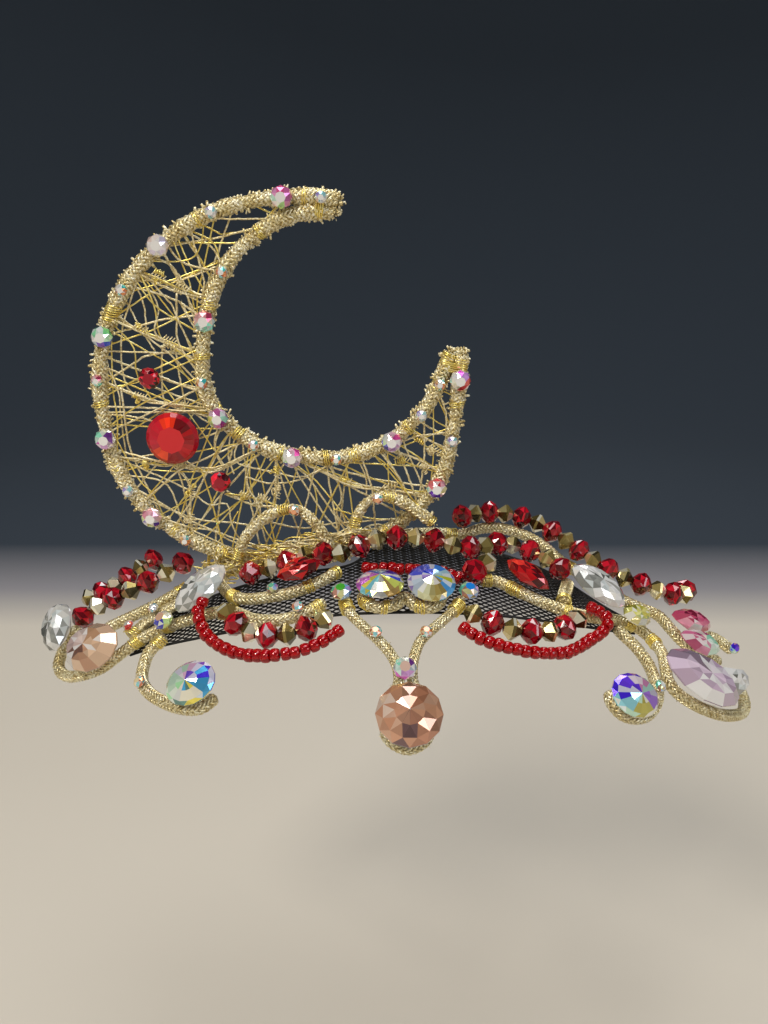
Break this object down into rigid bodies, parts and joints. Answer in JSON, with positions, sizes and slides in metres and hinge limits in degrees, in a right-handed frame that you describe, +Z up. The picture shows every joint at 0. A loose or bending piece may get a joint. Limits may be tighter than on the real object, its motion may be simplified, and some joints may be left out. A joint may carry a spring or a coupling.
{
  "type": "ballet headpiece",
  "caption": "Crown-like ballet headpiece: a thread-wrapped gold crescent over gold cord scrolls, cut stones and red bead swags on a band of black net.",
  "frame": {"origin": "the crown of the head, the point of the head's surface where the net band sits", "axes": "+Z up out of the crown, -Y towards the wearer's face, +X to the wearer's left, which is the right in a front view"},
  "size_m": [0.1325, 0.063, 0.0932],
  "materials": {
    "black_net": "matte black diamond mesh",
    "gold_cord": "braided metallic tube, soft sparkle",
    "metallic_thread": "loose metallic thread",
    "gold_wire": "bright coiled wire",
    "gold_bead": "metallic coated glass",
    "garnet_glass": "faceted",
    "red_seed_glass": "round, glossy",
    "aurora_glass": "faceted, iridescent coating",
    "peach_glass": "faceted, foiled back",
    "clear_glass": "faceted, foiled back",
    "lilac_glass": "faceted, foiled back",
    "rose_glass": "faceted",
    "yellow_glass": "faceted",
    "scarlet_acrylic": "faceted, foiled back"
  },
  "bodies": {
    "root": {"centre_scallop": "gold_cord", "centre_stone_left": "aurora_glass", "centre_stone_right": "aurora_glass", "clear_octagon_right": "clear_glass", "clear_oval_far_left": "clear_glass", "clear_oval_left": "clear_glass", "clear_oval_right": "clear_glass", "crystal_curl_left": "aurora_glass", "crystal_curl_right": "aurora_glass", "crystal_far_left": "aurora_glass", "crystal_left": "aurora_glass", "crystal_lower_scroll": "aurora_glass", "crystal_nub": "aurora_glass", "crystal_right": "aurora_glass", "crystal_sparkle_far": "aurora_glass", "crystal_sparkle_near": "aurora_glass", "crystal_upper_scroll": "aurora_glass", "crystal_v_left": "aurora_glass", "crystal_v_right": "aurora_glass", "curl_left": "gold_cord", "curl_right": "gold_cord", "curl_stone_left": "aurora_glass", "curl_stone_right": "aurora_glass", "drop_crystal": "aurora_glass", "drop_stone": "peach_glass", "front_wire_left": "gold_cord", "front_wire_right": "gold_cord", "left_front_beads": "garnet_glass", "left_rear_beads": "garnet_glass", "lilac_oval_right": "lilac_glass", "moon_brace_left": "gold_cord", "moon_brace_right": "gold_cord", "moon_frame": "gold_cord", "moon_garnet_lower": "garnet_glass", "moon_garnet_upper": "garnet_glass", "moon_red_stone": "scarlet_acrylic", "moon_web": "metallic_thread", "net_band": "black_net", "nub_cord_right": "gold_cord", "peach_oval_left": "peach_glass", "pink_navette_right": "aurora_glass", "rear_beads": "garnet_glass", "rear_wire": "gold_cord", "red_bead_pair": "garnet_glass", "red_navette_left": "scarlet_acrylic", "red_navette_right": "scarlet_acrylic", "rose_navette_right": "rose_glass", "seed_centre": "red_seed_glass", "seed_left": "red_seed_glass", "seed_right": "red_seed_glass", "sparkle_cord_left": "gold_cord", "strap_right": "gold_cord", "swag_beads_left": "garnet_glass", "swag_beads_right": "garnet_glass", "top_beads": "garnet_glass", "upper_scroll_left": "gold_cord", "v_cord": "gold_cord", "yellow_oval_right": "yellow_glass"}
  },
  "joints": []
}
